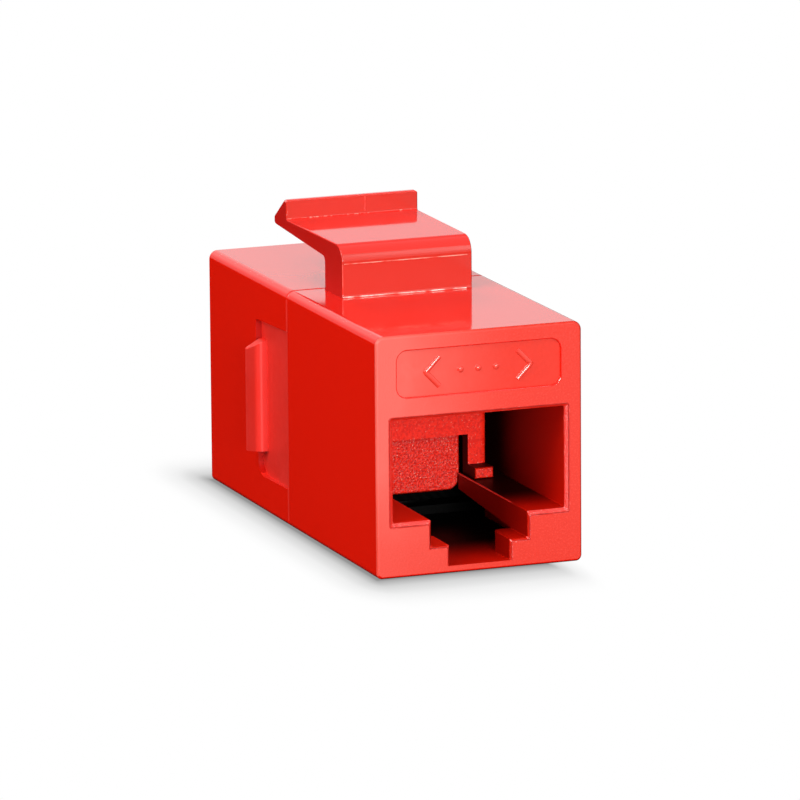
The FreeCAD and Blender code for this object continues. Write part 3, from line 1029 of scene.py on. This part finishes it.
def stripPath(jogs):
    # depth and height along one contact, from its free end to the board
    loop = spring["loop"]
    centre = (spring["tongueFront"] + spring["tongueGap"], spring["upperRow"] - loop)
    run = (spring["endDepth"] - centre[0], spring["endHigh"] - centre[1])
    tangent = math.atan2(run[1], run[0]) - math.acos(loop / math.hypot(*run))
    path = [(spring["endDepth"], spring["endHigh"])]
    path += arcPoints(centre, loop, tangent, -1.5 * math.pi, spring["loopSteps"])
    if jogs:
        r, steps = spring["jogRadius"], spring["jogSteps"]
        path += arcPoints((spring["jogDepth"] - r, spring["upperRow"] - r), r, math.pi / 2, 0, steps)
        path += arcPoints((spring["jogDepth"] + r, spring["lowerRow"] + r), r, math.pi, 1.5 * math.pi, steps)
    path.append((spring["backDepth"], spring["lowerRow"] if jogs else spring["upperRow"]))
    return path


def buildStripTree():
    # sweeps the strip's section along its path and sets out every other contact
    tree, entry = newTree("contactRow", ["Width", "Thickness", "Corner", "Pitch", "First"], ["Count"])
    curve = addNode(tree, "GeometryNodeMeshToCurve", {"Mesh": entry["Geometry"]})
    section = addNode(tree, "GeometryNodeCurvePrimitiveQuadrilateral", {
        "Width": entry["Width"], "Height": entry["Thickness"]})
    rounded = addNode(tree, "GeometryNodeFilletCurve", {
        "Curve": section, "Count": spring["cornerSteps"], "Radius": entry["Corner"]}, mode="POLY")
    strip = addNode(tree, "GeometryNodeCurveToMesh", {
        "Curve": curve, "Profile Curve": rounded, "Fill Caps": True})
    start = addNode(tree, "ShaderNodeCombineXYZ", {"X": entry["First"]})
    stride = addNode(tree, "ShaderNodeCombineXYZ", {"X": entry["Pitch"]})
    spots = addNode(tree, "GeometryNodeMeshLine", {
        "Count": entry["Count"], "Start Location": start, "Offset": stride})
    row = addNode(tree, "GeometryNodeInstanceOnPoints", {"Points": spots, "Instance": strip})
    return finishTree(tree, entry, row)


contactRow = buildStripTree()


def buildContacts(name, end, mouthSide):
    work = bmesh.new()
    for first, jogs in ((0, False), (1, True)):
        strand = [(0, depth - halfLength, high) for depth, high in stripPath(jogs)]
        start = (first - (spring["count"] - 1) / 2) * spring["pitch"]
        mesh = applied(strandObject(name + "Path", [strand]), contactRow, {
            "Width": spring["width"] * mm, "Thickness": spring["thick"] * mm, "Corner": spring["corner"] * mm,
            "Count": spring["count"] // 2, "Pitch": 2 * spring["pitch"] * mm, "First": start * mm,
            "Material": goldFlash}, name + "Half")
        work.from_mesh(mesh)
        bpy.data.meshes.remove(mesh)
    if mouthSide > 0:
        bmesh.ops.rotate(work, verts=work.verts, cent=(0, 0, 0), matrix=Matrix.Rotation(math.pi, 3, "Z"))
    bmesh.ops.recalc_face_normals(work, faces=work.faces)
    nodes = [f"{end}_contact_{number}" for number in range(1, spring["count"] + 1)]
    finishPiece(work, name, [goldFlash], "contact_gold", *nodes, sharpFrom=35, flatWidth=0.2)


buildContacts("frontContacts", "front", -1)
buildContacts("rearContacts", "rear", 1)
print("contacts sprung")


# floor, world, lamps and camera

sky = {
    "light": 0.38,              # what the world adds to matt surfaces
    "above": 0.32,              # what gloss sees high up
    "bandFrom": 0.33,           # sine of the height where the white backdrop ends, for gloss
    "bandTo": 0.52,
    "leftFrom": -0.55,          # and how far round to the left it fades, and to what
    "leftTo": -0.1,
    "leftOver": 0.08,
}
paper = {
    "half": 900.0,
    "albedo": 0.2,
    "front": 0.7,               # what gloss sees of the floor in front, and elsewhere
    "elsewhere": 0.005,
    "spot": (15.0, -75.0),
    "spotFrom": 25.0,
    "spotTo": 60.0,
}
shadow = {
    "reach": 14.0,              # it shows where the body hides the sky from the floor within this
    "samples": 16,
    "gate": 12.0,
    "sideways": 2.25,           # it is this much narrower beside the body than in front of it
    "rightEdge": 4.8,           # on the right it starts further in and is narrower again
    "right": 1.8,
    "span": 9.0,
    "tones": ((0.0, 0.3), (0.04, 0.43), (0.21, 0.68), (0.29, 0.737), (0.37, 0.79), (0.48, 0.87),
              (0.59, 0.905), (0.84, 0.98), (1.0, 1.0)),
}
lamps = {
    # name: azimuth, elevation, distance, size, watts, whether gloss mirrors it
    "keyLamp": (-6.0, 8.0, 600.0, 170.0, 2.76, True),
    "leftLamp": (-80.0, 34.0, 150.0, 110.0, 0.178, True),
    "rightLamp": (35.0, 28.0, 500.0, 220.0, 0.3, True),
    "topLamp": (10.0, 80.0, 450.0, 700.0, 0.55, True),
    "backLamp": (180.0, 32.0, 500.0, 150.0, 1.2, False),
}


def shadowTone(tree, place):
    # a painted shadow: its tones follow the distance from the body's footprint, and it shows only where
    # ambient occlusion finds the body near
    axes = axesOf(tree, place)
    leftOf = maths(tree, "SUBTRACT", -coupler["halfWide"] * mm, axes["X"])
    rightOf = maths(tree, "SUBTRACT", axes["X"], shadow["rightEdge"] * mm)
    rightOf = maths(tree, "MULTIPLY", rightOf, shadow["right"])
    beside = maths(tree, "MAXIMUM", maths(tree, "MAXIMUM", leftOf, rightOf), 0.0)
    beside = maths(tree, "MULTIPLY", beside, shadow["sideways"])
    ahead = maths(tree, "SUBTRACT", maths(tree, "ABSOLUTE", axes["Y"]), halfLength * mm)
    ahead = maths(tree, "MAXIMUM", ahead, 0.0)
    squares = maths(tree, "ADD", maths(tree, "MULTIPLY", beside, beside),
                    maths(tree, "MULTIPLY", ahead, ahead))
    gap = maths(tree, "DIVIDE", maths(tree, "SQRT", squares), shadow["span"] * mm)
    tones = addNode(tree, "ShaderNodeValToRGB", {"Fac": gap})
    ramp = tones.color_ramp.elements
    ramp[0].position, ramp[1].position = 0.0, 1.0
    for index, (stopAt, value) in enumerate(shadow["tones"]):
        stop = ramp[0] if index == 0 else ramp[-1] if stopAt == 1.0 else ramp.new(stopAt)
        stop.color = (value, value, value, 1)
    occluded = addNode(tree, "ShaderNodeAmbientOcclusion", {
        "Distance": shadow["reach"] * mm}, samples=shadow["samples"])
    hidden = maths(tree, "SUBTRACT", 1.0, occluded.outputs["AO"])
    hidden = maths(tree, "MULTIPLY", hidden, shadow["gate"], clamp=True)
    return addNode(tree, "ShaderNodeMix", {"Factor": hidden, "A": 1.0, "B": tones})


def floorPaper():
    # white to the camera with a painted shadow near the body, plain grey to the light, and bright to gloss
    # only in front of the body
    material, tree = newMaterial("floorPaper")
    place = objectPlace(tree)
    rays = addNode(tree, "ShaderNodeLightPath").outputs
    matt = addNode(tree, "ShaderNodeBsdfDiffuse", {"Color": (paper["albedo"],) * 3 + (1,)})
    white = addNode(tree, "ShaderNodeEmission", {"Strength": shadowTone(tree, place)})
    fromSpot = addNode(tree, "ShaderNodeVectorMath", {
        0: place, 1: (paper["spot"][0] * mm, paper["spot"][1] * mm, 0)}, operation="DISTANCE")
    glossy = addNode(tree, "ShaderNodeEmission", {"Strength": mapRange(
        tree, fromSpot.outputs["Value"], paper["spotFrom"] * mm, paper["spotTo"] * mm,
        paper["front"], paper["elsewhere"], "SMOOTHSTEP")})
    seen = addNode(tree, "ShaderNodeMixShader", {
        0: rays["Is Camera Ray"], 1: matt, 2: white})
    mirrored = addNode(tree, "ShaderNodeMixShader", {
        0: rays["Is Glossy Ray"], 1: seen, 2: glossy})
    addNode(tree, "ShaderNodeOutputMaterial", {"Surface": mirrored})
    return material


def buildFloor():
    half = paper["half"] * mm
    mesh = bpy.data.meshes.new("floor")
    corners = [(-half, -half, 0), (half, -half, 0), (half, half, 0), (-half, half, 0)]
    mesh.from_pydata(corners, [], [(0, 1, 2, 3)])
    mesh.materials.append(floorPaper())
    newObject("floor", mesh)


def buildWorld():
    world = bpy.data.worlds.new("studioWorld")
    bpy.context.scene.world = world
    world.use_nodes = True
    tree = world.node_tree
    tree.nodes.clear()
    rays = addNode(tree, "ShaderNodeLightPath").outputs
    axes = axesOf(tree, addNode(tree, "ShaderNodeTexCoord").outputs["Generated"])
    band = mapRange(tree, axes["Z"], sky["bandFrom"], sky["bandTo"],
                    1.0, sky["above"], "SMOOTHSTEP")
    leftward = mapRange(tree, axes["X"], sky["leftFrom"], sky["leftTo"],
                        sky["leftOver"], 1.0, "SMOOTHSTEP")
    white = maths(tree, "MULTIPLY", band, leftward)
    gloss = maths(tree, "MULTIPLY", white, rays["Is Glossy Ray"])
    base = maths(tree, "MAXIMUM", gloss, sky["light"])
    seen = maths(tree, "MAXIMUM", base, rays["Is Camera Ray"])
    backdrop = addNode(tree, "ShaderNodeBackground", {"Strength": seen})
    addNode(tree, "ShaderNodeOutputWorld", {"Surface": backdrop})


def aimed(obj, at, spot, roll=0.0):
    # looks from spot towards at, along the object's own -Z
    back = (spot - at).normalized()
    right = Vector((0, 0, 1)).cross(back).normalized()
    up = back.cross(right)
    turnedRight = right * math.cos(roll) - up * math.sin(roll)
    turnedUp = right * math.sin(roll) + up * math.cos(roll)
    axes = Matrix((turnedRight, turnedUp, back)).transposed().to_4x4()
    obj.matrix_world = Matrix.Translation(spot) @ axes
    return turnedRight, turnedUp


def away(azimuth, elevation):
    a = math.radians(azimuth)
    e = math.radians(elevation)
    return Vector((math.sin(a) * math.cos(e), -math.cos(a) * math.cos(e), math.sin(e)))


def buildLamp(name, azimuth, elevation, distance, size, watts, mirrored):
    data = bpy.data.lights.new(name, "AREA")
    data.shape = "RECTANGLE"
    data.size = size * mm
    data.size_y = size * mm
    data.energy = watts
    lamp = newObject(name, data)
    lamp.visible_glossy = mirrored
    at = Vector((0, 0, coupler["height"] / 2)) * mm
    aimed(lamp, at, at + away(azimuth, elevation) * distance * mm)


view = {
    "azimuth": -20.86,
    "elevation": 12.15,
    "roll": 0.43,
    "distance": 529.9,
    "pivot": (0.0, 0.0, 8.1),
    "slideRight": 0.567,
    "slideUp": 0.155,
    "lens": 353.5,
    "sensor": 36,
    "clip": (0.01, 100),        # metres
}


def buildCamera():
    data = bpy.data.cameras.new("camera")
    data.lens = view["lens"]
    data.sensor_width = view["sensor"]
    data.clip_start, data.clip_end = view["clip"]
    camera = newObject("camera", data)
    pivot = Vector(view["pivot"]) * mm
    spot = pivot + away(view["azimuth"], view["elevation"]) * view["distance"] * mm
    right, up = aimed(camera, pivot, spot, math.radians(view["roll"]))
    camera.matrix_world.translation = spot + (right * view["slideRight"] + up * view["slideUp"]) * mm
    bpy.context.scene.camera = camera


buildFloor()
buildWorld()
for lampName, settings in lamps.items():
    buildLamp(lampName, *settings)
buildCamera()
bpy.context.scene.view_settings.view_transform = "Standard"
print("studio set")
